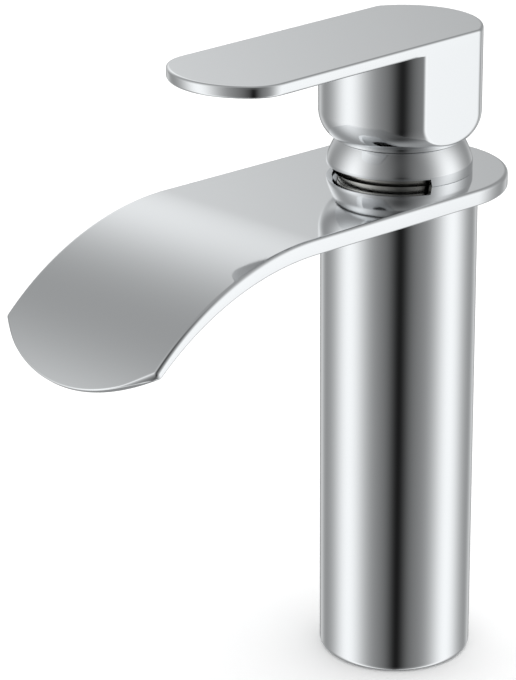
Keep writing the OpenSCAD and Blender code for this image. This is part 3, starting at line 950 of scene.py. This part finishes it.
@dataclass
class IndexPlug(ChromePiece):
    """Plug in the back of the hub: its face follows the hub, and its rim is just rounded."""

    hub: float = HUB_RADIUS
    radius: float = 4.0
    shank: float = 3.2
    cap: float = 1.4
    length: float = 3.4
    height: float = PLUG_HEIGHT
    rim: float = 0.3
    face_rings: int = 10
    rim_points: int = 7
    columns: int = 160

    def build(self) -> None:
        """Makes the plug: rings whose depth below the hub's surface gives face, rim and shank."""
        swing = np.linspace(0.0, math.pi / 2, self.rim_points)[1:]
        face = np.linspace(FIRST_RING, 1.0, self.face_rings) * (self.radius - self.rim)
        rim = self.radius - self.rim * (1 - np.sin(swing))
        shank = (self.radius, self.shank, self.shank, self.shank * LAST_RING)
        radius = np.concatenate((face, rim, shank))[:, None]
        angle = np.linspace(0.0, 2 * math.pi, self.columns, endpoint=False)
        x, z = radius * np.cos(angle), radius * np.sin(angle)
        sunk = np.concatenate((0.0 * face, self.rim * (1 - np.cos(swing))))[:, None]
        seat, end = self.hub - self.cap, self.hub - self.length
        y = np.sqrt(self.hub**2 - x**2)
        y[: len(sunk)] -= sunk
        y[len(sunk) :] = np.array((seat, seat, end, end))[:, None]
        piece = surface_object("index_button", np.stack((x, y, z + self.height), axis=2), closed=False)
        self.dress(piece, Body.LEVER, "index_plug")


@dataclass
class InnerParts:
    """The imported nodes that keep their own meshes, and the finish of each.

    The nut and the valve body stand behind the water slot, where the plating bath reaches them
    too, so they show its grey nickel flash over their brass.
    """

    finishes: dict[Slot, Material]
    flash: Material
    flashed: tuple[str, ...] = ("valve_body", "cartridge_nut")

    def dress(self) -> None:
        """Puts the finish of each node's slot in the record into its object's material slots."""
        for part in frame["record"]["subparts"]:
            name, slot = part["node"], Slot(part["material_slot"])
            if slot is Slot.CHROME:
                continue
            node = frame["nodes"][name]
            finish = self.flash if name in self.flashed else self.finishes[slot]
            if not node.material_slots:
                node.data.materials.append(finish)
            for holder in node.material_slots:
                holder.link, holder.material = "OBJECT", finish
            LOG.info("%s: %s", name, finish.name)


@dataclass(frozen=True)
class Level:
    """A number that the world's nodes work out for each direction, written as plain arithmetic."""

    tree: NodeTree
    value: NodeSocket | float

    def then(self, operation: str, *others: Any) -> "Level":
        """Result of one of Blender's operations on this number and others, levels or plain."""
        values = [other.value if isinstance(other, Level) else other for other in (self, *others)]
        node = add_node(self.tree, Kind.MATHS, dict(enumerate(values)), operation=operation)
        return Level(self.tree, node.outputs[0])

    def __add__(self, other: Any) -> "Level":
        """Sum."""
        return self.then("ADD", other)

    def __mul__(self, other: Any) -> "Level":
        """Product."""
        return self.then("MULTIPLY", other)

    def rest(self) -> "Level":
        """What this number leaves of 1."""
        return Level(self.tree, 1.0).then("SUBTRACT", self)

    def bell(self, middle: float, spread: float) -> "Level":
        """Bell curve of this angle: e to minus half the square of its spreads from the middle."""
        ratio = self.then("SUBTRACT", math.radians(middle)).then("DIVIDE", math.radians(spread))
        return (ratio * ratio * -0.5).then("EXPONENT")

    def eased(self, span: Pair, ends: Pair) -> "Level":
        """Smooth change from one end to the other while this angle crosses a span."""
        crossed = mapped(self.value, (math.radians(span[0]), math.radians(span[1])), ends)
        node = add_node(self.tree, Kind.RANGE, crossed, interpolation_type="SMOOTHSTEP")
        return Level(self.tree, node.outputs["Result"])


@dataclass(frozen=True)
class Patch:
    """A tall soft patch of the room that lights or darkens it, as bell curves of its two angles.

    The bearing is counted from the camera, to the right. The height is an elevation and a spread;
    without one the patch goes all the way up. A mirrored one stands on the left as well.
    """

    bearing: float
    spread: float
    level: float
    darkens: bool = False
    height: Pair | None = None
    mirrored: bool = False

    def share(self, bearing: Level, height: Level) -> Level:
        """Strength of the patch in each direction.

        Args:
            bearing: Bearing of the direction.
            height: Elevation of the direction.

        Returns:
            The strength.
        """
        aside = bearing.then("ABSOLUTE") if self.mirrored else bearing
        share = aside.bell(self.bearing, self.spread) * self.level
        return share * height.bell(*self.height) if self.height else share


@dataclass
class Studio:
    """Camera, floor and light.

    The room is drawn by direction. Two tall soft panels stand at the sides, and a dark gap is left
    where the camera is. The ceiling is darker in front, and a round soft light hangs behind. Low
    down behind, a gap between two strips serves the views of the object's back.
    """

    azimuth: float = 46.16
    elevation: float = 20.33
    distance: float = 928.99
    aside: float = -27.31
    above: float = 100.76
    focal: float = 2749.97
    pan: float = 54.95
    image_height: int = 680
    sensor: float = 36.0
    clip: Pair = (20.0, 30000.0)
    side_span: Pair = (60.0, 130.0)
    front_level: float = 0.21
    back_level: float = 0.29
    patches: tuple[Patch, ...] = (
        Patch(-77.2, 20.4, 0.85),
        Patch(82.6, 20.2, 0.85),
        Patch(1.5, 12.2, 0.94, darkens=True, height=(-25.0, 50.0)),
        Patch(180.0, 9.0, 0.85, darkens=True, height=(-22.0, 15.0), mirrored=True),
        Patch(155.0, 9.0, 0.34, height=(-22.0, 15.0), mirrored=True),
    )
    wall_top: Pair = (3.0, 80.0)
    ceiling_level: float = 0.34
    ceiling_gap: Patch = Patch(0.0, 29.0, 0.94, darkens=True)
    zenith: Pair = (52.0, 78.0)
    lamp_bearing: float = 196.5
    lamp_elevation: float = 23.5
    lamp_spread: float = 13.9
    lamp_level: float = 0.68
    room_tint: str = "#FCFEFF"
    even_level: float = 1.5
    pale: str = "#FAFAFA"
    floor_size: float = 6000.0
    floor_grain: float = 60.0

    def axes(self) -> tuple[Vector, Vector, Vector]:
        """Right, up and back of the unpanned camera.

        Returns:
            Three unit vectors.
        """
        a, e = math.radians(self.azimuth), math.radians(self.elevation)
        right = Vector((math.cos(a), math.sin(a), 0.0))
        up = Vector((-math.sin(a) * math.sin(e), math.cos(a) * math.sin(e), math.cos(e)))
        back = Vector((math.sin(a) * math.cos(e), -math.cos(a) * math.cos(e), math.sin(e)))
        return right, up, back

    def camera(self) -> None:
        """Stands the camera where the photograph was taken from, and pans it to the frame's middle."""
        right, up, back = self.axes()
        place = right * self.aside + up * self.above + back * self.distance
        turn = math.atan(self.pan / self.focal)
        panned = right * math.cos(turn) - back * math.sin(turn)
        behind = back * math.cos(turn) + right * math.sin(turn)
        data = bpy.data.cameras.new("camera")
        data.sensor_width = self.sensor
        data.lens = self.focal / self.image_height * self.sensor
        data.clip_start, data.clip_end = (distance * MM for distance in self.clip)
        camera = bpy.data.objects.new("camera", data)
        turned = Matrix((panned, up, behind)).transposed().to_4x4()
        camera.matrix_world = Matrix.Translation(place * MM) @ turned
        bpy.context.scene.collection.objects.link(camera)
        bpy.context.scene.camera = camera

    def floor(self) -> None:
        """Lays the pale floor, which the chrome doesn't mirror, as in the photograph."""
        half = self.floor_size / 2 * MM
        corners = [(x * half, y * half, 0.0) for x, y in ((-1, -1), (1, -1), (1, 1), (-1, 1))]
        mesh = bpy.data.meshes.new("floor")
        mesh.from_pydata(corners, [], [(0, 1, 2, 3)])
        floor = bpy.data.objects.new("floor", mesh)
        bpy.context.scene.collection.objects.link(floor)
        material, tree, place = start_material("matt white paper")
        clouds = {"Vector": place, "Scale": per_metre(self.floor_grain), "Detail": 2.0}
        grain = add_node(tree, Kind.NOISE, clouds)
        rough = add_node(tree, Kind.RANGE, mapped(grain.outputs["Fac"], (0.0, 1.0), (0.85, 0.95)))
        paper = {"Roughness": rough.outputs["Result"], "Specular IOR Level": 0.1}
        end_material(tree, {"Base Color": linear(self.pale)} | paper)
        mesh.materials.append(material)
        floor.visible_glossy = False

    def room(self, tree: NodeTree) -> Level:
        """Brightness of the room in each direction: walls with their patches, ceiling and lamp.

        The walls' level goes over into the ceiling's as the direction rises.

        Args:
            tree: The world's node tree.

        Returns:
            The brightness.
        """
        right, _, back = self.axes()
        top = Vector((0.0, 0.0, 1.0))
        toward = Vector((back.x, back.y, 0.0)).normalized()
        a, e = math.radians(self.lamp_bearing), math.radians(self.lamp_elevation)
        lamp = (toward * math.cos(a) + right * math.sin(a)) * math.cos(e) + top * math.sin(e)
        ray = add_node(tree, Kind.COORDINATES).outputs["Generated"]
        across, forward, upward, to_lamp = (
            add_node(tree, Kind.VECTOR, {0: ray, 1: axis[:]}, operation="DOT_PRODUCT").outputs["Value"]
            for axis in (right, toward, top, lamp)
        )
        bearing = Level(tree, across).then("ARCTAN2", forward)
        height = Level(tree, upward).then("ARCSINE")
        walls = bearing.then("ABSOLUTE").eased(self.side_span, (self.front_level, self.back_level))
        for patch in self.patches:
            share = patch.share(bearing, height)
            walls = walls * share.rest() if patch.darkens else walls + share
        rise = height.eased(self.wall_top, (0.0, 1.0))
        gap = self.ceiling_gap.share(bearing, height) * height.eased(self.zenith, (1.0, 0.0))
        ceiling = gap.rest() * self.ceiling_level
        glow = Level(tree, to_lamp).then("MINIMUM", 1.0).then("ARCCOSINE").bell(0.0, self.lamp_spread)
        return walls * rise.rest() + rise * ceiling + glow * self.lamp_level

    def light(self) -> None:
        """Draws the room that the chrome mirrors, and the even light that falls on the floor."""
        world = bpy.data.worlds.new("studio")
        bpy.context.scene.world = world
        world.use_nodes = True
        tree = world.node_tree
        tree.nodes.clear()
        room, even = (
            add_node(tree, Kind.BACKGROUND, {"Color": linear(colour), "Strength": strength}).outputs[0]
            for colour, strength in ((self.room_tint, self.room(tree).value), (self.pale, self.even_level))
        )
        ray = add_node(tree, Kind.LIGHT_PATH)
        plain = Level(tree, ray.outputs["Is Camera Ray"]).then("MAXIMUM", ray.outputs["Is Diffuse Ray"])
        mixed = add_node(tree, Kind.MIX, {0: plain.value, 1: room, 2: even})
        add_node(tree, Kind.WORLD, {"Surface": mixed.outputs[0]})

    def build(self) -> None:
        """Sets up the camera, the floor and the light."""
        bpy.context.scene.view_settings.view_transform = "Standard"
        self.camera()
        self.floor()
        self.light()
        LOG.info("studio: camera at %.0f mm, floor and light", self.distance)


def finishes() -> dict[Slot, Material]:
    """Makes the material of every slot.

    Returns:
        The material of each.
    """
    rubber = MouldedPart(light="#2A2A2B", dark="#161617", roughness=0.62, ior=1.52)
    acetal = MouldedPart(light="#EFEEE8", dark="#E2E1DA", roughness=0.38)
    nylon = MouldedPart(light="#2F5F93", dark="#244B78", roughness=0.42, grain=0.6)
    alumina = MouldedPart("#F3EFE4", "#EAE5D8", roughness=0.2, grain=0.4, grain_depth=0.004, ior=1.76)
    steel = TurnedMetal(light="#B9BCC0", dark="#8D9196", roughness=0.24, line_pitch=1.571)
    return {
        Slot.CHROME: ChromePlatedBrass().make("chrome plated brass"),
        Slot.BRASS: TurnedMetal(light="#CDAE70", dark="#94794A").make("machined brass"),
        Slot.RUBBER: rubber.make("moulded rubber"),
        Slot.ACETAL: acetal.make("moulded acetal"),
        Slot.NYLON: nylon.make("glass-filled nylon"),
        Slot.ALUMINA: alumina.make("lapped alumina ceramic"),
        Slot.STEEL: steel.make("bright steel"),
    }


def main() -> None:
    """Builds the chrome pieces, dresses the inner ones, sets up the studio and notes the sizes."""
    logging.basicConfig(level=logging.INFO, format="%(name)s: %(message)s")
    made = finishes()
    for piece in (Column, SpoutPlate, Collar, Handle, IndexPlug):
        piece(made[Slot.CHROME]).build()
    flash = TurnedMetal(light="#D2D0CA", dark="#B4B2AC", roughness=0.2).make("nickel-flashed brass")
    InnerParts(made, flash).dress()
    Studio().build()


if __name__ == "__main__":
    main()
